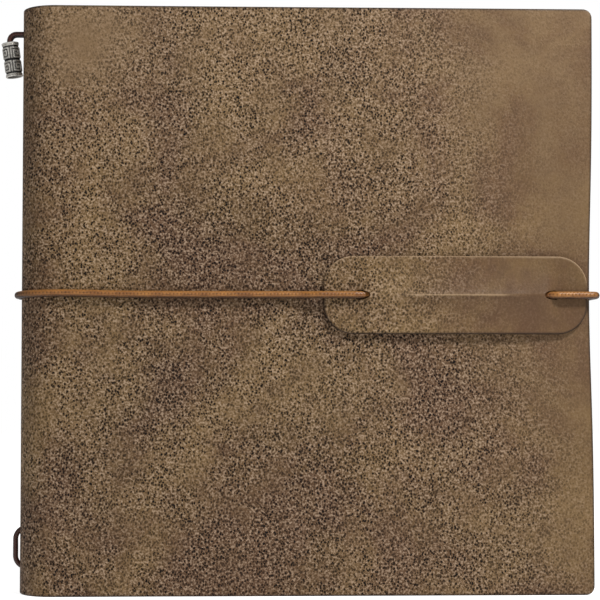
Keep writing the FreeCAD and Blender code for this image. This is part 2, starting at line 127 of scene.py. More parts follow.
def cord_piece(name, path, radius, material, first=0, last=None, sides=20, frames=None):
    """A round cord along path[first:last] (points in mm) with flat ends. It stores the distance along
    the whole path and the turn round the cord, for its material."""
    frames = frames or frames_along(path)
    along = np.concatenate([[0], np.cumsum(np.linalg.norm(np.diff(path, axis=0), axis=1))])
    last = len(path) if last is None else last
    angles = np.linspace(0, 2 * math.pi, sides, endpoint=False)
    rings = []
    for n in range(first, last):
        u, v = frames[n]
        ring = np.outer(np.cos(angles), u) + np.outer(np.sin(angles), v)
        rings.append(path[n] + radius * ring)
    rows = len(rings)
    faces = grid_faces(rows, sides, wrap=True)
    faces.append(tuple(range(sides))[::-1])
    faces.append(tuple(range((rows - 1) * sides, rows * sides)))
    obj = new_object(name, np.concatenate(rings), faces, [material])
    set_attribute(obj, "along", np.repeat(along[first:last], sides))
    set_attribute(obj, "turn", np.tile(angles, rows))
    smooth_by_angle(obj, 50)
    return obj


def set_attribute(obj, name, values):
    """A number, or a triple of numbers, stored at every point of the mesh."""
    values = np.asarray(values, np.float32)
    kind = "FLOAT" if values.ndim == 1 else "FLOAT_VECTOR"
    attribute = obj.data.attributes.get(name) or obj.data.attributes.new(name, kind, "POINT")
    attribute.data.foreach_set("value" if values.ndim == 1 else "vector", values.ravel())


def points_of(obj):
    """The mesh's points in mm."""
    co = np.zeros(len(obj.data.vertices) * 3)
    obj.data.vertices.foreach_get("co", co)
    return co.reshape(-1, 3) / MM


def set_points(obj, points):
    obj.data.vertices.foreach_set("co", (np.asarray(points) * MM).astype(np.float32).ravel())
    obj.data.update()


def rounded_path(points, radii, step):
    """Points every step mm along straight runs joined by arcs; radii[n] rounds points[n + 1]."""
    points = [np.asarray(p, float) for p in points]
    path = [points[0]]

    def run_to(end):
        start = path[-1]
        count = max(1, int(np.linalg.norm(end - start) / step))
        path.extend(start + (end - start) * k / count for k in range(1, count + 1))

    for before, corner, after, radius in zip(points, points[1:], points[2:], radii):
        into = (corner - before) / np.linalg.norm(corner - before)
        away = (after - corner) / np.linalg.norm(after - corner)
        turn = math.acos(float(np.clip(into @ away, -1, 1)))
        run = radius * math.tan(turn / 2)
        first = corner - into * run
        if np.linalg.norm(first - path[-1]) > 1e-4:
            run_to(first)
        inward = (away - into) / np.linalg.norm(away - into)
        centre = corner + inward * radius / math.cos(turn / 2)
        a, b = first - centre, corner + away * run - centre
        count = max(3, int(radius * turn / step))
        for k in range(1, count + 1):
            share = k / count
            path.append(
                centre
                + (a * math.sin((1 - share) * turn) + b * math.sin(share * turn)) / math.sin(turn)
            )
    if np.linalg.norm(points[-1] - path[-1]) > 1e-4:
        run_to(points[-1])
    return np.array(path)


def cut(obj, cutters):
    """Takes the cutters out of obj and throws them away."""
    for cutter in cutters:
        modifier = obj.modifiers.new("cut", "BOOLEAN")
        modifier.operation = "DIFFERENCE"
        modifier.solver = "EXACT"
        modifier.object = cutter
    bake(obj)
    for cutter in cutters:
        bpy.data.objects.remove(cutter)


def bake(obj):
    """Applies every modifier of obj."""
    graph = bpy.context.evaluated_depsgraph_get()
    graph.update()
    mesh = bpy.data.meshes.new_from_object(obj.evaluated_get(graph), depsgraph=graph)
    old = obj.data
    obj.modifiers.clear()
    obj.data = mesh
    bpy.data.meshes.remove(old)


def face_outwards(obj):
    """Turns every face of a closed mesh outwards."""
    bm = bmesh.new()
    bm.from_mesh(obj.data)
    bmesh.ops.recalc_face_normals(bm, faces=bm.faces)
    bm.to_mesh(obj.data)
    bm.free()


def smooth_by_angle(obj, degrees):
    """Smooth shading with the edges sharper than degrees kept crisp."""
    bm = bmesh.new()
    bm.from_mesh(obj.data)
    limit = math.radians(degrees)
    for face in bm.faces:
        face.smooth = True
    for edge in bm.edges:
        sharp = len(edge.link_faces) == 2 and edge.calc_face_angle(0) > limit
        edge.smooth = not sharp
    bm.to_mesh(obj.data)
    bm.free()


# Materials -------------------------------------------------------------------------------------------


class Shader:
    """Builds one material's nodes with short calls. Sockets and plain numbers both work as inputs."""

    def __init__(self, name):
        self.material = bpy.data.materials.new(name)
        self.material.use_nodes = True
        self.tree = self.material.node_tree
        self.tree.nodes.clear()

    def node(self, kind, inputs=(), **settings):
        node = self.tree.nodes.new(kind)
        for key, value in settings.items():
            setattr(node, key, value)
        for key, value in dict(inputs).items():
            if isinstance(value, bpy.types.NodeSocket):
                self.tree.links.new(value, node.inputs[key])
            else:
                node.inputs[key].default_value = value
        return node

    def attribute(self, name, output="Fac"):
        return self.node("ShaderNodeAttribute", attribute_name=name).outputs[output]

    def math(self, operation, a, b=0.0):
        return self.node("ShaderNodeMath", {0: a, 1: b}, operation=operation).outputs[0]

    def times(self, a, b):
        return self.math("MULTIPLY", a, b)

    def placed(self, vector, scale, turned=0.0):
        """vector turned about Z by an angle and scaled, as a texture's place."""
        inputs = {"Vector": vector, "Rotation": (0, 0, turned), "Scale": scale}
        return self.node("ShaderNodeMapping", inputs).outputs[0]

    def noise(self, vector, scale, detail, rough=0.5, distortion=0.0):
        inputs = {
            "Vector": vector,
            "Scale": scale,
            "Detail": detail,
            "Roughness": rough,
            "Distortion": distortion,
        }
        return self.node("ShaderNodeTexNoise", inputs).outputs["Fac"]

    def cells(self, vector, scale, randomness=1.0):
        """The distance from the middle of the nearest cell."""
        inputs = {"Vector": vector, "Scale": scale, "Randomness": randomness}
        return self.node("ShaderNodeTexVoronoi", inputs).outputs["Distance"]

    def ramp(self, value, low, high, a=0.0, b=1.0):
        """value taken from the span low..high to a..b, smoothly and held at the ends."""
        node = self.node(
            "ShaderNodeMapRange",
            {"Value": value, "From Min": low, "From Max": high, "To Min": a, "To Max": b},
            interpolation_type="SMOOTHSTEP",
        )
        return node.outputs["Result"]

    def mix(self, share, a, b):
        """Colour a with a share of colour b; a colour is a socket or a linear (r, g, b)."""
        node = self.node("ShaderNodeMix", data_type="RGBA")
        for socket, value in ((0, share), (6, a), (7, b)):
            if isinstance(value, bpy.types.NodeSocket):
                self.tree.links.new(value, node.inputs[socket])
            elif socket == 0:
                node.inputs[socket].default_value = value
            else:
                node.inputs[socket].default_value = (*value, 1.0)
        return node.outputs[2]

    def bump(self, height, strength, distance):
        inputs = {"Height": height, "Strength": strength, "Distance": distance}
        return self.node("ShaderNodeBump", inputs).outputs["Normal"]

    def finish(self, **inputs):
        """The material, from the main shader's inputs; their names have _ for each space."""
        inputs = {key.replace("_", " "): value for key, value in inputs.items()}
        surface = self.node("ShaderNodeBsdfPrincipled", inputs)
        output = self.node("ShaderNodeOutputMaterial")
        self.tree.links.new(surface.outputs[0], output.inputs["Surface"])
        return self.material


def srgb(r, g, b):
    """A colour given as 0 to 255 screen values, made linear."""
    return tuple(
        c / 255 / 12.92 if c <= 10 else ((c / 255 + 0.055) / 1.055) ** 2.4 for c in (r, g, b)
    )


def leather(name):
    """Waxed leather: cloudy browns, black pores (partly painted shade) with pale ridges between them (a
    painted highlight), darker rims (on the tab's lower edge, painted shade). The points carry sheet
    (place on the leather in mm), rim, grain and shade (0 to 1) and a value for wear and painted
    highlight (1 is rubbed bare, towards 2 a painted highlight)."""
    s = Shader(name)
    sheet = s.attribute("sheet", "Vector")
    wear_and_highlight = s.attribute("wear_and_highlight")
    # Dye: two browns in clouds, reddish patches, handled places and rubbed ones, which on the tab's top
    # edge and ridge are a painted highlight
    clouds = s.noise(sheet, 0.021, 3.0, 0.55, 0.6)
    patches = s.noise(sheet, 0.023, 4.0, 0.62, 0.5)
    smudges = s.noise(sheet, 0.16, 4.0, 0.6)
    reddish = s.ramp(patches, 0.38, 0.66)
    colour = s.mix(s.ramp(clouds, 0.36, 0.64), srgb(124, 98, 63), srgb(99, 75, 45))
    colour = s.mix(s.times(reddish, 0.85), colour, srgb(91, 64, 45))
    colour = s.mix(s.times(s.ramp(smudges, 0.46, 0.74), 0.35), colour, srgb(76, 55, 38))
    shade = s.times(s.attribute("shade"), s.ramp(smudges, 0.3, 0.7, 0.35, 0.75))
    colour = s.mix(shade, colour, srgb(62, 42, 28))
    worn_and_highlit = s.times(s.math("MINIMUM", wear_and_highlight, 1.0), s.ramp(clouds, 0.3, 0.7, 0.7, 1.0))
    worn_and_highlit = s.times(worn_and_highlit, s.ramp(reddish, 0.0, 1.0, 1.0, 0.45))
    colour = s.mix(worn_and_highlit, colour, srgb(126, 101, 73))
    # Grain: a pore in every cell's middle and a ridge round it, stronger in some regions; the pale
    # ridges are painted highlight, the black pores partly painted shade
    wobble = s.noise(sheet, 0.45, 2.0)
    drift = s.node("ShaderNodeCombineXYZ", {0: wobble, 1: wobble}).outputs[0]
    place = s.node("ShaderNodeVectorMath", {0: sheet, 1: drift}, operation="ADD").outputs[0]
    cells = s.cells(s.placed(place, (1.0, 0.8, 1.0), 0.7), 1.1, 0.85)
    fine = s.noise(sheet, 1.25, 1.0, 0.5)
    region = s.ramp(s.noise(sheet, 0.07, 3.0, 0.6), 0.36, 0.54, 0.62, 1.0)
    region = s.math("MAXIMUM", s.times(reddish, 0.9), region)
    scattered = s.ramp(s.noise(sheet, 0.5, 1.0), 0.34, 0.52, 0.72, 1.0)
    strong = s.times(s.times(s.attribute("grain"), region), scattered)
    pore = s.math("MAXIMUM", s.ramp(cells, 0.3, 0.42, 1.0, 0.0), s.ramp(fine, 0.34, 0.4, 0.6, 0.0))
    pore = s.times(pore, strong)
    ridge = s.times(s.ramp(cells, 0.48, 0.6), s.ramp(fine, 0.46, 0.6, 0.1, 1.0))
    ridge = s.times(ridge, strong)
    # Painted highlight on the grain's ridges
    colour = s.mix(s.times(ridge, 0.42), colour, srgb(212, 184, 156))
    # Black pores: the grain's own pits, darkened partly as painted shade
    colour = s.mix(pore, colour, srgb(8, 4, 3))
    # Painted highlight: a pale line on the tab's top edge and along its ridge, where the wear value
    # passes 1
    colour = s.mix(s.ramp(wear_and_highlight, 1.0, 2.0, 0.0, 0.55), colour, srgb(186, 158, 124))
    # Dark rims: the leather's cut edges and hole rims, and on the tab only its lower edge, which is
    # painted shade
    colour = s.mix(s.times(s.attribute("rim"), 0.9), colour, srgb(34, 22, 14))
    height = s.math("SUBTRACT", s.times(ridge, 0.6), pore)
    height = s.math("ADD", height, s.times(s.noise(sheet, 2.6, 2.0), 0.3))
    normal = s.bump(height, 0.8, 0.0002)
    rough = s.math("ADD", s.ramp(smudges, 0.3, 0.7, 0.44, 0.6), s.times(pore, 0.3))
    return s.finish(Base_Color=colour, Roughness=rough, Normal=normal, Specular_IOR_Level=0.22)


def suede(name):
    """The flesh side of the leather: matt, fibrous and lighter. Its points carry sheet and rim."""
    s = Shader(name)
    sheet = s.attribute("sheet", "Vector")
    fibres = s.noise(s.placed(sheet, (1.0, 2.2, 1.0)), 1.4, 5.0, 0.7)
    clouds = s.noise(sheet, 0.04, 3.0)
    colour = s.mix(s.ramp(clouds, 0.35, 0.65), srgb(139, 103, 70), srgb(118, 84, 56))
    colour = s.mix(s.times(s.ramp(fibres, 0.35, 0.7), 0.4), colour, srgb(166, 131, 95))
    colour = s.mix(s.times(s.attribute("rim"), 0.6), colour, srgb(60, 40, 27))
    normal = s.bump(fibres, 0.6, 0.0003)
    return s.finish(Base_Color=colour, Roughness=0.92, Normal=normal, Sheen_Weight=0.25)


def cord_material(name, light, dark, deep, pitch, slant):
    """A braided cord: pitch is a strand's width along the cord in mm, slant the strands' twist, deep the
    colour of its dark streaks and of the painted shade between the strands, round the outline and
    underneath, light that of its lighter patches and of the painted highlight on top. The points carry
    along (mm along the cord) and turn (angle round it)."""
    s = Shader(name)
    full_turn = 2 * math.pi
    along = s.attribute("along")
    turn = s.math("DIVIDE", s.attribute("turn"), full_turn)
    # Braid: two sets of strands laid in opposite directions
    steps, twist = s.math("DIVIDE", along, pitch), s.times(turn, slant)
    strands = [s.math(way, steps, twist) for way in ("ADD", "SUBTRACT")]
    strands = [s.math("SINE", s.times(strand, full_turn)) for strand in strands]
    braid = s.math("ADD", s.times(s.math("ADD", *strands), 0.25), 0.5)
    # Wear along the cord
    position = s.node("ShaderNodeCombineXYZ", {0: along, 1: s.times(turn, 8.0)}).outputs[0]
    patches = s.noise(position, 0.13, 3.0, 0.6)
    streaks = s.noise(s.placed(position, (0.25, 3.0, 1.0)), 1.0, 3.0)
    colour = s.mix(s.ramp(patches, 0.35, 0.65), light, dark)
    colour = s.mix(s.times(s.ramp(streaks, 0.4, 0.75), 0.5), colour, deep)
    # Painted shade between the strands
    colour = s.mix(s.times(s.ramp(braid, 0.15, 0.45, 1.0, 0.0), 0.45), colour, deep)
    # Painted shade on the outline and the underside, painted highlight on the top
    facing = s.node("ShaderNodeLayerWeight", {"Blend": 0.5}).outputs["Facing"]
    colour = s.mix(s.ramp(facing, 0.15, 0.75, 0.0, 0.8), colour, deep)
    surface = s.node("ShaderNodeNewGeometry").outputs["Normal"]
    upward = s.node("ShaderNodeSeparateXYZ", {"Vector": surface}).outputs["Z"]
    colour = s.mix(s.ramp(upward, -0.85, -0.2, 0.75, 0.0), colour, deep)
    colour = s.mix(s.ramp(upward, 0.4, 0.85, 0.0, 0.6), colour, light)
    normal = s.bump(braid, 0.5, 0.0002)
    return s.finish(Base_Color=colour, Roughness=0.42, Normal=normal, Specular_IOR_Level=0.5)


def kraft(name, base, fleck):
    """Uncoated kraft paper with fibres and dark specks. The points carry rest (their place in mm) and
    tone (0 to 1), which makes one sheet a little darker than another."""
    s = Shader(name)
    rest = s.attribute("rest", "Vector")
    fibres = s.noise(s.placed(rest, (1.0, 1.0, 3.0)), 0.9, 5.0, 0.7)
    colour = s.mix(s.ramp(fibres, 0.35, 0.68), base, fleck)
    colour = s.mix(s.ramp(s.cells(rest, 0.55), 0.05, 0.12, 0.5, 0.0), colour, srgb(96, 66, 40))
    colour = s.mix(s.times(s.attribute("tone"), 0.45), colour, srgb(122, 92, 62))
    normal = s.bump(fibres, 0.3, 0.0001)
    return s.finish(Base_Color=colour, Roughness=0.9, Normal=normal)


def antique_metal(name):
    """Antique silver: bright on the high parts, black in the recesses. The points carry rest (their
    place in mm) and relief (0 to 1)."""
    s = Shader(name)
    rest = s.attribute("rest", "Vector")
    stains = s.noise(rest, 1.1, 4.0, 0.6)
    high = s.times(s.attribute("relief"), s.ramp(stains, 0.3, 0.6, 0.65, 1.0))
    colour = s.mix(high, srgb(14, 12, 10), srgb(238, 233, 224))
    metallic = s.ramp(high, 0.0, 0.6, 0.3, 0.5)
    rough = s.ramp(high, 0.0, 1.0, 0.65, 0.3)
    scratches = s.noise(s.placed(rest, (1.0, 1.0, 6.0)), 2.0, 4.0)
    normal = s.bump(scratches, 0.25, 0.0001)
    return s.finish(Base_Color=colour, Metallic=metallic, Roughness=rough, Normal=normal)


LEATHER_OUT = leather("leather_out")
LEATHER_IN = suede("leather_in")
CLOSURE = cord_material(
    "closure_cord", srgb(174, 117, 56), srgb(131, 82, 36), srgb(34, 17, 7), pitch=1.3, slant=4.0
)
BINDING = cord_material(
    "binding_cord", srgb(88, 42, 28), srgb(60, 28, 20), srgb(26, 13, 10), pitch=1.0, slant=3.0
)
BAND = cord_material(
    "band_cord", srgb(66, 58, 50), srgb(46, 40, 35), srgb(22, 19, 17), pitch=0.7, slant=2.0
)
KRAFT = kraft("kraft_leaf", srgb(188, 156, 116), srgb(168, 134, 95))
KRAFT_COVER = kraft("kraft_cover", srgb(156, 118, 78), srgb(136, 99, 62))
METAL = antique_metal("bead_metal")


# Leather ---------------------------------------------------------------------------------------------

EDGE = 0.55
EDGE_LINES = (0.0, 0.03, 0.11, 0.25, EDGE, 1.1)
COVER_GRID = 1.45
NEVER_NEAR = 1e9
CUTTER_REACH = 10.0
CUTTER_STEPS = 15
SEAM_S = SPINE_X * math.radians(50)
TURN = SPINE_X * math.pi / 2
SHEET_END = TURN + FORE_EDGE - SPINE_X
BEAD_HOLE_Z = 206.3
# Holes in the spine: length round it, width, place round it and height
SPINE_HOLES = (
    (6.3, 3.3, 0.0, CORD_Z),
    (4.3, 2.4, 0.0, BEAD_HOLE_Z),
    (3.2, 3.2, 0.0, 23.6),
    (3.2, 3.2, 0.0, 9.9),
)
# The fore-edge is drawn in by the closure cord, most at the cord's height
PULL_IN = 1.5
PULL_SPREAD = 45
PULL_FROM = 110
WAVE_DEPTH = 0.22
# Darker, more handled places on a cover: x, z, spread (mm) and strength
HANDLED = (
    (38, 76, 22, 0.5),
    (112, 102, 24, 0.6),
    (45, 112, 20, 0.35),
    (88, 66, 18, 0.35),
    (36, 44, 18, 0.4),
    (120, 66, 16, 0.3),
    (186, 20, 22, 0.45),
    (80, 160, 30, 0.2),
)
# The place at the head of the spine that is rubbed smooth
RUBBED_X = 22
RUBBED_Z = 201
RUBBED_SPREAD = 15


def lines(start, end, step, ease_start=True):
    """Grid line places from start to end: close together at rounded ends, about step apart elsewhere."""
    left = [start + n for n in EDGE_LINES] if ease_start else [start]
    right = [end - n for n in EDGE_LINES[::-1]]
    count = max(2, int(round((right[0] - left[-1]) / step)))
    middle = np.linspace(left[-1], right[0], count + 1)[1:-1]
    return np.concatenate([left, middle, right])


def flat_sheet(name, columns, rows, thickness, corner, seam, materials):
    """A flat sheet of leather in the plane y = 0 with rounded edges and round corners of radius corner;
    outside is +y. seam True leaves the side at columns[0] square, for a sheet that goes on there."""
    u, w = np.meshgrid(columns, rows, indexing="ij")
    low_u, high_u, low_w, high_w = columns[0], columns[-1], rows[0], rows[-1]
    to_left = np.full_like(u, NEVER_NEAR) if seam else u - low_u
    edge = np.minimum(np.minimum(to_left, high_u - u), np.minimum(w - low_w, high_w - w))
    flat_u, flat_w = u.copy(), w.copy()
    for sign_u, side_u in ((-1, low_u), (1, high_u)):
        if seam and sign_u < 0:
            continue
        for sign_w, side_w in ((-1, low_w), (1, high_w)):
            # The square corner's grid is mapped onto a quarter disc
            p = np.clip(1 - (side_u - u) * sign_u / corner, 0, 1)
            q = np.clip(1 - (side_w - w) * sign_w / corner, 0, 1)
            inside = (p > 0) & (q > 0)
            round_p = p * np.sqrt(1 - q * q / 2)
            round_q = q * np.sqrt(1 - p * p / 2)
            flat_u = np.where(inside, side_u - sign_u * corner * (1 - round_p), flat_u)
            flat_w = np.where(inside, side_w - sign_w * corner * (1 - round_q), flat_w)
            edge = np.where(inside, corner * (1 - np.hypot(round_p, round_q)), edge)
    rounded = np.where(edge < 1e-6, 0, np.clip(edge / EDGE, 0, 1))
    half = thickness / 2 * np.sqrt(np.clip(1 - (1 - rounded) ** 2, 0, 1))
    # Both faces share their points where the thickness runs out
    verts = []
    number = np.zeros((2, *u.shape), int)
    for face, sign in ((0, 1), (1, -1)):
        for i in range(len(columns)):
            for j in range(len(rows)):
                if face == 1 and half[i, j] == 0:
                    number[1, i, j] = number[0, i, j]
                    continue
                number[face, i, j] = len(verts)
                verts.append((flat_u[i, j], sign * half[i, j], flat_w[i, j]))
    faces, slots = [], []
    for face in (0, 1):
        for i in range(len(columns) - 1):
            for j in range(len(rows) - 1):
                corners = ((i, j), (i, j + 1), (i + 1, j + 1), (i + 1, j))
                ring = [number[face, k, n] for k, n in corners]
                ring = ring if face == 0 else ring[::-1]
                faces.append([n for k, n in enumerate(ring) if n != ring[k - 1]])
                slots.append(face)
    if seam:
        for j in range(len(rows) - 1):
            ring = [number[0, 0, j], number[1, 0, j], number[1, 0, j + 1], number[0, 0, j + 1]]
            faces.append(list(dict.fromkeys(ring)))
            slots.append(0)
    return new_object(name, verts, faces, materials, slots)


def prism(outline):
    """A cutter standing across a sheet on an outline of (u, w) points."""
    count = len(outline)
    verts = [(u, side * CUTTER_REACH, w) for side in (-1, 1) for u, w in outline]
    faces = [tuple(range(count)), tuple(range(count, 2 * count))[::-1]]
    for n in range(count):
        k = (n + 1) % count
        faces.append((n, n + count, k + count, k))
    cutter = new_object("cutter", verts, faces, [], smooth=False)
    face_outwards(cutter)
    return cutter


def plug(length, width, at_u, at_w):
    """A cutter for a hole with round ends, its length along u."""
    radius = width / 2
    straight = length / 2 - radius
    outline = []
    for way in (1, -1):
        for n in range(CUTTER_STEPS + 1):
            angle = math.pi * n / CUTTER_STEPS
            out = straight + radius * math.sin(angle)
            outline.append((at_u + way * out, at_w + way * radius * math.cos(angle)))
    return prism(outline)


def wrap_cover(points, side):
    """Sheet points (s, t, z) laid round the spine and along the cover on side -1 (front) or +1."""
    s, t, z = points.T
    near_cord = np.exp(-(((z - CORD_Z) / PULL_SPREAD) ** 2))
    pulled = PULL_IN * near_cord * smoothstep(s, PULL_FROM, SHEET_END)
    wave = np.sin(0.036 * s + 0.021 * z) * np.cos(0.033 * z - 0.012 * s)
    sunk = WAVE_DEPTH * (0.5 + 0.5 * wave) * smoothstep(s, TURN + 4, 60)
    angle = np.minimum(s, TURN) / SPINE_X
    straight = np.maximum(s - TURN, 0)
    reach = SPINE_X + t - sunk
    x = SPINE_X - reach * np.cos(angle) + straight - pulled
    y = side * reach * np.sin(angle)
    return np.stack([x, y, z], axis=1)


def hole_rim(s, z, length, width, at_s, at_z):
    """1 at the edge of a hole with round ends, falling to 0 a little way out."""
    beyond = np.maximum(np.abs(s - at_s) - (length - width) / 2, 0)
    away = np.hypot(beyond, z - at_z) - width / 2
    return 0.9 * (1 - smoothstep(away, 0.0, 1.2))


def cover_attributes(obj, side, holes):
    """What the leather's material needs, from the points of the flat sheet."""
    s, _, z = points_of(obj).T
    edge = np.minimum(SHEET_END - s, np.minimum(z, HEIGHT - z))
    rim = 1 - smoothstep(edge, 0.15, 1.0)
    for hole in holes:
        rim = np.maximum(rim, hole_rim(s, z, *hole))
    x = s - TURN + SPINE_X
    across, up = x / FORE_EDGE, z / HEIGHT
    shade = 0
    for at_x, at_z, spread, much in HANDLED:
        shade = shade + much * np.exp(-((x - at_x) ** 2 + (z - at_z) ** 2) / spread**2)
    rubbed = np.exp(-((x - RUBBED_X) ** 2 + (z - RUBBED_Z) ** 2) / RUBBED_SPREAD**2)
    # Lighter towards the fore-edge and the head, and rubbed bare at the spine's head
    fore = smoothstep(across, 0.5, 1.0) * (0.3 + 0.7 * smoothstep(up, 0.15, 0.45))
    head = smoothstep(up, 0.6, 1.05)
    near_spine = 1 - smoothstep(across, 0.1, 0.45)
    wear_and_highlight = 0.06 + 0.45 * fore + head * (0.3 + 0.25 * across + 0.45 * near_spine) + 0.5 * rubbed
    grain = 1 - 0.85 * smoothstep(x + 50 * (up - 0.5), 150, 205)
    set_attribute(obj, "sheet", np.stack([x, z, np.full_like(x, 40.0 * side)], axis=1))
    set_attribute(obj, "rim", rim)
    set_attribute(obj, "shade", np.clip(shade, 0, 1))
    set_attribute(obj, "wear_and_highlight", np.clip(wear_and_highlight, 0, 1))
    set_attribute(obj, "grain", grain * (1 - 0.8 * rubbed))


def bend(obj):
    """Bakes obj's place into its points."""
    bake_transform(obj)


def cover(name, nodes, side, start, holes=()):
    """One leather cover on side -1 (front) or +1, with its share of the spine from s = start on. It
    takes the place of the CAD nodes named, which it hides."""
    columns = lines(start, SHEET_END, COVER_GRID, ease_start=False)
    rows = lines(0, HEIGHT, COVER_GRID)
    obj = flat_sheet(name, columns, rows, LEATHER, CORNER, True, [LEATHER_OUT, LEATHER_IN])
    if holes:
        cut(obj, [plug(*hole) for hole in holes])
    cover_attributes(obj, side, holes)
    set_points(obj, wrap_cover(points_of(obj), side))
    smooth_by_angle(obj, 40)
    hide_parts(*nodes)
    bend(obj)


cover("front_cover_leather", ("front_cover", "spine_leather"), -1, -SEAM_S, SPINE_HOLES)
cover("back_cover_leather", ("back_cover",), 1, SEAM_S)


# Closure tab -----------------------------------------------------------------------------------------

TAB_FOOT = 94.95
TAB_SHORT = 0.8
TAB_CORNER = 11.0
TAB_MIDDLE = TAB_WIDTH / 2
TAB_GRID_U = 0.8
TAB_GRID_W = 0.4
# The roof over the cord, between the slits
ROOF = 2.9
ROOF_START = 11.2
ROOF_END = 17.2
RIDGE_ROUND = 0.02
PINCH = 0.3
PINCH_WIDTH = 0.9
EDGE_LIFT = 0.9
SLIT_R = 1.75
SLIT_TAPER = 4.1
SLIT_STEPS = 12
# Where the tab's skin is on the leather's pattern, so that it doesn't repeat the cover's
TAB_SKIN = (300, 60, 7.0)


def slit(outer_end, direction):
    """A slit's cutter: round at outer_end and pointed towards the tab's middle."""
    outline = []
    for n in range(SLIT_STEPS):
        angle = math.pi * (0.5 + n / SLIT_STEPS)
        outline.append((SLIT_R * (1 + math.cos(angle)), SLIT_R * math.sin(angle)))
    shares = [n / SLIT_STEPS for n in range(SLIT_STEPS + 1)]
    pointed = [(SLIT_R + SLIT_TAPER * share, SLIT_R * (1 - share**2) ** 0.55) for share in shares]
    outline += [(u, -w) for u, w in pointed]
    outline += pointed[-2:0:-1]
    return prism([(outer_end + direction * u, TAB_MIDDLE + w) for u, w in outline])


def drape(points):
    """Tab sheet points (u, t, w) laid on the front cover, roofed over the cord between the slits."""
    u, t, w = points.T
    off = np.abs(w - TAB_MIDDLE) / TAB_MIDDLE
    off = np.sqrt(off**2 + RIDGE_ROUND**2) - RIDGE_ROUND
    near_end = np.minimum(u, TAB_LENGTH - u)
    roof = ROOF * np.clip(1 - off, 0, 1) ** 1.5 * smoothstep(near_end, ROOF_START, ROOF_END)
    ridge = PINCH * np.exp(-((off * TAB_MIDDLE / PINCH_WIDTH) ** 2)) * smoothstep(near_end, 20, 34)
    away = EDGE_LIFT * off**2 * smoothstep(near_end, 4.0, 34.0)
    y = -(TAB_FACE + TAB_THICK / 2 + t + roof + ridge + away)
    return np.stack([TAB_START + u, y, TAB_FOOT + w], axis=1)


def tab_attributes(obj, length):
    """What the leather's material needs, from the points of the flat tab."""
    u, _, w = points_of(obj).T
    far_u = np.maximum(np.abs(u - length / 2) - (length / 2 - TAB_CORNER), 0)
    far_w = np.maximum(np.abs(w - TAB_MIDDLE) - (TAB_MIDDLE - TAB_CORNER), 0)
    edge = TAB_CORNER - np.hypot(far_u, far_w)
    at_edge = 1 - smoothstep(edge, 0.1, 0.9)
    upper = smoothstep(w / TAB_WIDTH, 0.45, 0.75)
    near_end = np.minimum(u, TAB_LENGTH - u)
    # Painted highlight: a thin light line along the ridge between the slits and along the top edge,
    # which lift the wear value past 1
    ridge_highlight = (1 - smoothstep(np.abs(w - TAB_MIDDLE), 0.1, 0.7)) * smoothstep(near_end, 22, 34)
    wear_and_highlight = 0.05 + 0.12 * smoothstep(u, 20, 96) + 1.5 * at_edge * upper + 1.85 * ridge_highlight
    skin_u, skin_w, skin_depth = TAB_SKIN
    set_attribute(obj, "sheet", np.stack([u + skin_u, w + skin_w, np.full_like(u, skin_depth)], axis=1))
    # Painted shade: the rim darkens only the lower half of the tab's edge, on both faces
    set_attribute(obj, "rim", at_edge * (1 - upper))
    set_attribute(obj, "wear_and_highlight", np.clip(wear_and_highlight, 0, 2))
    set_attribute(obj, "grain", 0.85 - 0.75 * smoothstep(u, 15, 72))


def build_tab():
    length = TAB_LENGTH - TAB_SHORT
    columns, rows = lines(0, length, TAB_GRID_U), lines(0, TAB_WIDTH, TAB_GRID_W)
    skins = [LEATHER_OUT, LEATHER_IN]
    obj = flat_sheet("closure_tab_leather", columns, rows, TAB_THICK, TAB_CORNER, False, skins)
    cut(obj, [slit(ROOF_START, 1), slit(TAB_LENGTH - ROOF_START, -1)])
    tab_attributes(obj, length)
    set_points(obj, drape(points_of(obj)))
    smooth_by_angle(obj, 40)
    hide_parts("closure_tab")
    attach(obj, "closure_tab")


build_tab()


# Cords -----------------------------------------------------------------------------------------------

# The closure cord's distance from the album's middle plane, on the leather and on the tab's ends
LAID = 14.4
OVER_TAB = 16.05
STRAND = 1.4
HOLE_BEND = 1.7
FORE_BEND_X = 209.8
KNOT_X = 3.4
KNOT_R = 2.3
LOBE = 0.36
# How far from a tab end the cord starts to climb, is up, goes into the slit and is under the tab
CLIMB = (-8.0, -1.5, 12.0, 16.2)
# Near the spine the cord sits a little higher
RAISED = 0.45
RAISED_X = 16
# Where the cord's pieces meet: along the front cover, on the tab and at the back of the spine
SPINE_END_X = 18.5
WEAVE_START = TAB_START - 2.6
WEAVE_END = TAB_START + TAB_LENGTH - 8.2
TURN_START = FORE_BEND_X - 2.7
BACK_END_X = 14.0
PATH_STEP = 0.4
ARC_STEP = 0.3


def knot(name, place, radius, material):
    """A small overhand knot: three crossed lobes of cord pulled tight."""
    turns = np.linspace(0, 2 * math.pi, 91)[:-1]
    wide = radius * LOBE
    x = np.sin(turns) + 2 * np.sin(2 * turns)
    y = np.cos(turns) - 2 * np.cos(2 * turns)
    path = np.stack([x, y, -np.sin(3 * turns)], axis=1)
    path = np.vstack([path, path[:1]]) * (radius - wide) / 3.0
    return cord_piece(name, path + np.array(place), wide, material, sides=14)


def arc_points(centre, radius, start, end):
    """Plan points from angle start to angle end, about ARC_STEP mm apart."""
    count = max(3, int(abs(end - start) * radius / ARC_STEP))
    angles = np.linspace(start, end, count + 1)
    return np.stack([centre[0] + radius * np.cos(angles), centre[1] + radius * np.sin(angles)], axis=1)


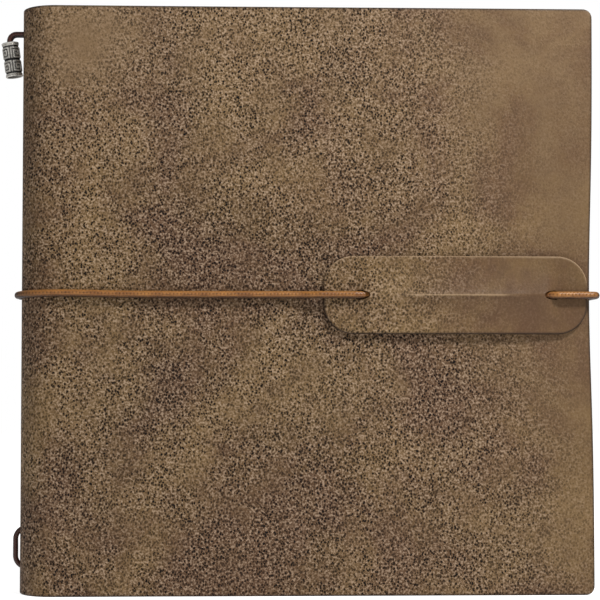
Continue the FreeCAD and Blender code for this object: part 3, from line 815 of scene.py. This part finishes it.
def front_strand():
    """The closure cord's plan path (x, y) from its knot through the spine's hole and round the spine."""
    bend_y = -(STRAND + HOLE_BEND)
    bend_x = SPINE_X - math.sqrt((LAID - HOLE_BEND) ** 2 - bend_y**2)
    meeting = math.atan2(bend_y, bend_x - SPINE_X) % (2 * math.pi)
    inside = np.array([[KNOT_X, -STRAND]])
    turned = arc_points((bend_x, bend_y), HOLE_BEND, math.pi / 2, meeting)
    hug = arc_points((SPINE_X, 0), LAID, meeting, 1.5 * math.pi)
    return np.concatenate([inside, turned, hug[1:]])


def closure_path():
    """The closed loop: round the spine, along the front cover over and under the tab, round the
    fore-edge and back behind the back cover."""
    start = front_strand()
    near, far = TAB_START, TAB_START + TAB_LENGTH
    climb, up, slit_in, under = CLIMB
    corners = [(SPINE_X, -LAID), (near + climb, -LAID), (near + up, -OVER_TAB)]
    corners += [(near + slit_in, -OVER_TAB), (near + under, -LAID)]
    corners += [(far - under, -LAID), (far - slit_in, -OVER_TAB)]
    corners += [(FORE_BEND_X, -OVER_TAB), (FORE_BEND_X, LAID), (SPINE_X, LAID)]
    radii = [6, 6, 3, 3, 3, 3, 2.6, 1.8]
    run = rounded_path([(*corner, 0.0) for corner in corners], radii, PATH_STEP)[:, :2]
    plan = np.concatenate([start[:-1], run, start[::-1][1:] * (1, -1)])
    near_spine = np.exp(-(((plan[:, 0] - RAISED_X) / RAISED_X) ** 2))
    z = CORD_Z + RAISED * smoothstep(-plan[:, 1], 3, 10) * near_spine
    return np.column_stack([plan, z])


def closure_pieces():
    """The closure cord in pieces, by name, cut where it goes from one body to the next."""
    path = closure_path()
    frames = frames_along(path)
    x, y, _ = path.T
    marks = [0]
    for reached in (SPINE_END_X, WEAVE_START, WEAVE_END, TURN_START):
        marks.append(int(np.argmax(x >= reached)))
    marks += [int(np.argmax((y > 0) & (x <= BACK_END_X))), len(path) - 1]
    names = ("spine", "cover", "weave", "reach", "back", "spine_back")
    pieces = {}
    for name, first, last in zip(names, marks, marks[1:]):
        obj = cord_piece(f"closure_cord_{name}", path, CORD_R, CLOSURE, first, last + 1, frames=frames)
        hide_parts("closure_cord")
        pieces[name] = obj
    pieces["knot"] = knot("closure_cord_knot", (KNOT_X, 0, CORD_Z), KNOT_R, CLOSURE)
    return pieces


def build_closure():
    pieces = closure_pieces()
    bend(pieces["spine"])
    bend(pieces["cover"])
    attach(pieces["weave"], "closure_tab")
    bend(pieces["reach"])
    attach(pieces["back"], "front_cover")
    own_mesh(pieces["back"])
    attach(pieces["spine_back"], "spine")
    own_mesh(pieces["spine_back"])
    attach(pieces["knot"], "spine")


build_closure()

# The bead's middle, its axis, its radius and half its height
BEAD_AT = np.array([-5.1, 0.0, 196.75])
BEAD_AXIS = np.array([-math.sin(BEAD_TILT), 0.0, math.cos(BEAD_TILT)])
BEAD_R = 3.2
BEAD_HALF = 6.4
# The binding cord's runs: x inside the spine, x in the booklets' folds, and the heights it turns at
RUN_X = 3
FOLD_X = 7.8
HEAD_Z = 211.8
FOOT_Z = 3.2
LOOP_X = -2.6
LOOP_LOW = 9.5
LOOP_HIGH = 24
BAND_R = 0.6
BAND_X = 10.1
BAND_OUT = 0.975
BAND_BEND = 1.3
BOOKLET_PITCH = 5.5


def bead_point(up, y=0.0):
    """A point up mm from the bead's middle along its axis, y mm off to the side."""
    return BEAD_AT + BEAD_AXIS * up + np.array([0, y, 0])


def build_binding():
    """The binding cord: from its knot in the bead into the spine's head, down the folds, out and in as
    a loop at the spine's foot, and back up to the bead."""
    knot_up = KNOT_R + 0.1 - BEAD_HALF
    above = (BEAD_HOLE_Z - BEAD_AT[2]) / math.cos(BEAD_TILT)
    fold_y = BOOKLET_PITCH / 2

    def head(side):
        corners = [bead_point(knot_up, side), bead_point(above, side), (RUN_X, side, BEAD_HOLE_Z)]
        return corners + [(RUN_X, side * fold_y, HEAD_Z), (FOLD_X, side * fold_y, HEAD_Z)]

    foot = [(FOLD_X, fold_y, FOOT_Z), (RUN_X, fold_y, FOOT_Z)]
    foot += [(RUN_X, 0, LOOP_LOW), (LOOP_X, 0, LOOP_LOW), (LOOP_X, 0, LOOP_HIGH), (RUN_X, 0, LOOP_HIGH)]
    foot += [(RUN_X, -fold_y, 16.75), (RUN_X, -fold_y, FOOT_Z), (FOLD_X, -fold_y, FOOT_Z)]
    head_radii = [2.6, 1.3, 2.4, 2.4]
    radii = head_radii + [2.4, 2.4, 1.3, 4.2, 4.2, 1.3, 6, 2.4, 2.4] + head_radii[::-1]
    path = rounded_path(head(1) + foot + head(-1)[::-1], radii, PATH_STEP)
    cord = cord_piece("binding_cord_elastic", path, BINDING_R, BINDING, sides=14)
    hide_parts("binding_cord")
    for obj in (cord, knot("binding_cord_knot", bead_point(knot_up), KNOT_R, BINDING)):
        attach(obj, "spine")


build_binding()


def build_bands():
    """The thin loops that hold each outer booklet to its neighbour."""
    foot, head = PAGE_FOOT - BAND_OUT, PAGE_TOP + BAND_OUT
    middle = (foot + head) / 2
    for name, near in (("front", -1.5 * BOOKLET_PITCH), ("back", 0.5 * BOOKLET_PITCH)):
        far = near + BOOKLET_PITCH
        corners = [(near, middle), (near, head), (far, head), (far, foot), (near, foot), (near, middle)]
        path = rounded_path([(BAND_X, y, z) for y, z in corners], [BAND_BEND] * 4, PATH_STEP)
        band = cord_piece(f"connecting_band_{name}_elastic", path, BAND_R, BAND, sides=12)
        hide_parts(f"connecting_band_{name}")
        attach(band, "spine")


build_bands()


# Bead ------------------------------------------------------------------------------------------------

# One repeat of the relief's two bands: # stands proud, . is sunk
RELIEF = (
    "..........",
    "#########.",
    "#.......#.",
    "#.#####.#.",
    "#.#...#.#.",
    "#.#.#.#.#.",
    "#.#.###.#.",
    "#.#.....#.",
    "#.#######.",
    "..........",
)
RELIEF_REPEATS = 4
RELIEF_DEEP = 0.38
RELIEF_HALF = 5.0
# Each point averages the pattern this share of a cell to either side of it
SAMPLE = 0.3
# Rims of the bead, on both sides of its middle: where one starts, its middle, half its width, how far
# its top is below the bead's radius, how deep its sides are, and its shine
RIMS = ((5.75, 6.08, 0.33, 0.0, 0.3, 0.9), (5.2, 5.47, 0.28, 0.1, 0.35, 0.75))
BEAD_AROUND = 300
BEAD_ROWS = 150
# The bead's ends and bores: radius, height from its middle, shine
BEAD_TOP = ((2.1, BEAD_HALF - 0.25, 0.3), (2.35, BEAD_HALF, 0.6), (2.9, BEAD_HALF, 0.9))
BEAD_FOOT = ((2.9, -BEAD_HALF, 0.9), (2.65, -BEAD_HALF, 0.6), (2.45, -BEAD_HALF + 0.2, 0.3))
BEAD_BORES = ((2.45, -1.8, 0.0), (2.1, -1.8, 0.0), (2.1, 2.0, 0.0))


def relief_at(turn, up):
    """How proud the relief stands, 0 to 1, at turn (0 to 1 round the bead) and up (mm from its
    middle)."""
    rows = len(RELIEF)
    down = (RELIEF_HALF - up) / (2 * RELIEF_HALF) * 2 * rows
    across = turn * RELIEF_REPEATS * rows
    total = 0.0
    for du in (-SAMPLE, SAMPLE):
        for dv in (-SAMPLE, SAMPLE):
            row = int(down + dv) % rows
            column = int(across + du + 100 * rows)
            if down + dv > rows:
                # The lower band is the upper one's mirror image
                column = -column - 1
            total += RELIEF[row][column % rows] == "#"
    return total / 4


def bead_wall(turn, up):
    """Radius and shine of the bead's outer wall."""
    off = abs(up)
    for start, middle, half, below, deep, shine in RIMS:
        if off > start:
            side = math.sqrt(max(0.0, 1 - ((off - middle) / half) ** 2))
            return BEAD_R - below - deep * (1 - side), shine
    shine = relief_at(turn, up) if off < RELIEF_HALF else 0.0
    return BEAD_R - RELIEF_DEEP * (1 - shine), shine


def build_bead():
    wall = [(None, BEAD_HALF - 2 * BEAD_HALF * n / BEAD_ROWS, None) for n in range(BEAD_ROWS + 1)]
    profile = [*BEAD_TOP, *wall, *BEAD_FOOT, *BEAD_BORES]
    side = np.array([math.cos(BEAD_TILT), 0, math.sin(BEAD_TILT)])
    outward = np.array([0, 1, 0])
    verts, proud = [], []
    for radius, up, shine in profile:
        for k in range(BEAD_AROUND):
            turn = k / BEAD_AROUND
            r, lit = bead_wall(turn, up) if radius is None else (radius, shine)
            angle = 2 * math.pi * turn
            direction = math.cos(angle) * side + math.sin(angle) * outward
            verts.append(BEAD_AT + BEAD_AXIS * up + r * direction)
            proud.append(lit)
    faces = grid_faces(len(profile), BEAD_AROUND, wrap=True)
    last = (len(profile) - 1) * BEAD_AROUND
    for k in range(BEAD_AROUND):
        n = (k + 1) % BEAD_AROUND
        faces.append((last + k, last + n, n, k))
    obj = new_object("spine_bead_metal", verts, faces, [METAL])
    face_outwards(obj)
    set_attribute(obj, "relief", proud)
    set_attribute(obj, "rest", points_of(obj))
    smooth_by_angle(obj, 45)
    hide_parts("spine_bead")
    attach(obj, "spine_bead")


build_bead()


# Pages -----------------------------------------------------------------------------------------------

SHEETS = 8
SHEET_THICK = 0.17
OUTER_THICK = 0.24
SPREAD_START = 12.0
SPREAD_END = 25.0
# The fold's middle and the innermost sheet's distance from it, for the inner and the outer booklets
INNER_FOLD = (7.8, 1.15)
OUTER_FOLD = (10.1, 0.8)
OUTERMOST_FOLD = 2.5
# The innermost sheet's distance from its booklet's middle plane at the fore-edge, and the outermost's
LEAF_FROM = 0.16
LEAF_TO = 2.46


def page_path(fold_x, fold_off, leaf_off, reach):
    """Plan points (x, off) of half a folded sheet from the middle of its fold to the fore-edge."""
    turn = np.linspace(0, math.pi / 2, 9)
    fold = np.stack([fold_x - fold_off * np.cos(turn), fold_off * np.sin(turn)], axis=1)
    x = np.concatenate([np.linspace(fold_x + 0.8, SPREAD_END, 12), np.linspace(30, reach, 24)])
    off = fold_off + (leaf_off - fold_off) * smoothstep(x, SPREAD_START, SPREAD_END)
    return np.concatenate([fold, np.stack([x, off], axis=1)])


def sheet_faces(start, rows, columns):
    """A closed sheet between two grids of points, the first one's from number start on."""
    count = rows * columns
    faces = grid_faces(rows, columns, start)
    faces += grid_faces(rows, columns, start + count, flip=True)
    for k in range(rows - 1):
        for column in (0, columns - 1):
            a = start + k * columns + column
            faces.append((a, a + columns, a + columns + count, a + count))
    for j in range(columns - 1):
        for row in (0, rows - 1):
            a = start + row * columns + j
            faces.append((a, a + 1, a + 1 + count, a + count))
    return faces


def build_leaves(booklet, half):
    """Half of a booklet's folded sheets, as one object; half is -1 for those in front of the fold."""
    middle = (booklet - 2.5) * BOOKLET_PITCH
    fold_x, first_off = INNER_FOLD if booklet in (2, 3) else OUTER_FOLD
    levels = np.linspace(PAGE_FOOT, PAGE_TOP, 12)
    verts, faces, slots, tones = [], [], [], []
    for n in range(SHEETS):
        share = n / (SHEETS - 1)
        outermost = n == SHEETS - 1
        thick = OUTER_THICK if outermost else SHEET_THICK
        reach = PAGE_REACH - 0.15 - 0.5 * RNG.random()
        fold_off = first_off + (OUTERMOST_FOLD - first_off) * share
        path = page_path(fold_x, fold_off, LEAF_FROM + (LEAF_TO - LEAF_FROM) * share, reach)
        tangent = np.gradient(path, axis=0)
        tangent /= np.linalg.norm(tangent, axis=1)[:, None]
        normal = np.stack([-tangent[:, 1], tangent[:, 0]], axis=1)
        ripple = 0.05 * RNG.standard_normal() + 0.04 * np.sin(levels / 34 + 6 * RNG.random())
        tone = RNG.random()
        loose = smoothstep(path[:, 0], 60, reach)
        start = len(verts)
        for side in (-1, 1):
            for (x, off), free in zip(path + normal * side * thick / 2, loose):
                for z, wave in zip(levels, ripple):
                    verts.append((x, middle + half * (off + wave * free), z))
                    tones.append(tone)
        sheet = sheet_faces(start, len(path), len(levels))
        faces += sheet
        slots += [int(outermost)] * len(sheet)
    word = "front" if half < 0 else "back"
    obj = new_object(f"booklet_{booklet}_{word}_sheets", verts, faces, [KRAFT, KRAFT_COVER], slots)
    face_outwards(obj)
    set_attribute(obj, "tone", tones)
    set_attribute(obj, "rest", points_of(obj))
    smooth_by_angle(obj, 40)
    body = f"booklet_{booklet}_{word}_leaves"
    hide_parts(body)
    if half < 0:
        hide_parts(f"booklet_{booklet}_fold")
    bend(obj)


for booklet in (1, 2, 3, 4):
    for half in (-1, 1):
        build_leaves(booklet, half)


# Floor, light and camera -----------------------------------------------------------------------------

MIDDLE = (0.1, 0.0, 0.107)
FLOOR = 1500
FLOOR_PAINT = (0.92, 0.92, 0.92, 1.0)
FLOOR_SEEN = 0.82
FLOOR_GLOW = 0.25
WORLD_SEEN = 1.0
WORLD_GLOW = 0.24


def area_light(name, place, size, power):
    """A round white lamp aimed at the album's middle; metres and watts."""
    light = bpy.data.lights.new(name, "AREA")
    light.shape = "DISK"
    light.size = size
    light.energy = power
    obj = bpy.data.objects.new(name, light)
    obj.location = place
    obj.rotation_euler = (Vector(MIDDLE) - Vector(place)).to_track_quat("-Z", "Y").to_euler()
    bpy.context.scene.collection.objects.link(obj)


def build_floor():
    """A white floor that looks brighter to the camera than it lights the album."""
    corners = [(-FLOOR, -FLOOR, 0), (FLOOR, -FLOOR, 0), (FLOOR, FLOOR, 0), (-FLOOR, FLOOR, 0)]
    s = Shader("floor")
    seen = s.node("ShaderNodeLightPath").outputs["Is Camera Ray"]
    paint = s.finish(
        Base_Color=FLOOR_PAINT,
        Roughness=0.8,
        Emission_Color=(1.0, 1.0, 1.0, 1.0),
        Emission_Strength=s.ramp(seen, 0.0, 1.0, FLOOR_GLOW, FLOOR_SEEN),
    )
    new_object("floor", corners, [(0, 1, 2, 3)], [paint])


def build_world():
    """A white surround that looks brighter to the camera than it lights the album."""
    world = bpy.data.worlds.new("studio")
    world.use_nodes = True
    tree = world.node_tree
    background = tree.nodes["Background"]
    background.inputs["Color"].default_value = (1, 1, 1, 1)
    seen = tree.nodes.new("ShaderNodeMapRange")
    seen.inputs["To Min"].default_value = WORLD_GLOW
    seen.inputs["To Max"].default_value = WORLD_SEEN
    ray = tree.nodes.new("ShaderNodeLightPath").outputs["Is Camera Ray"]
    tree.links.new(ray, seen.inputs["Value"])
    tree.links.new(seen.outputs["Result"], background.inputs["Strength"])
    bpy.context.scene.world = world
    bpy.context.scene.view_settings.view_transform = "Standard"


build_floor()
area_light("key", (0.5, -0.42, 0.72), 0.15, 6.5)
area_light("fill", (-0.7, -0.8, 0.35), 0.8, 0.6)
build_world()

CAMERA_AWAY = 0.63
CAMERA_TURN = math.radians(2.0)
CAMERA_DOWN = math.radians(2.2)
CAMERA_ROLL = math.radians(0.05)
CAMERA_AIM = (0.1014, -0.0145, 0.1073)
PICTURE_WIDTH = 0.218


def build_camera():
    """The camera stands CAMERA_AWAY from CAMERA_AIM, where the picture is PICTURE_WIDTH wide."""
    data = bpy.data.cameras.new("camera")
    data.sensor_width = 36.0
    data.lens = data.sensor_width * CAMERA_AWAY / PICTURE_WIDTH
    data.clip_start = 0.01
    camera = bpy.data.objects.new("camera", data)
    bpy.context.scene.collection.objects.link(camera)
    look = Vector((math.sin(CAMERA_TURN), math.cos(CAMERA_TURN), math.tan(CAMERA_DOWN))).normalized()
    camera.location = Vector(CAMERA_AIM) - look * CAMERA_AWAY
    roll = Matrix.Rotation(CAMERA_ROLL, 3, "Z").to_quaternion()
    camera.rotation_euler = (look.to_track_quat("-Z", "Y") @ roll).to_euler()
    bpy.context.scene.camera = camera


build_camera()

bpy.context.view_layer.update()
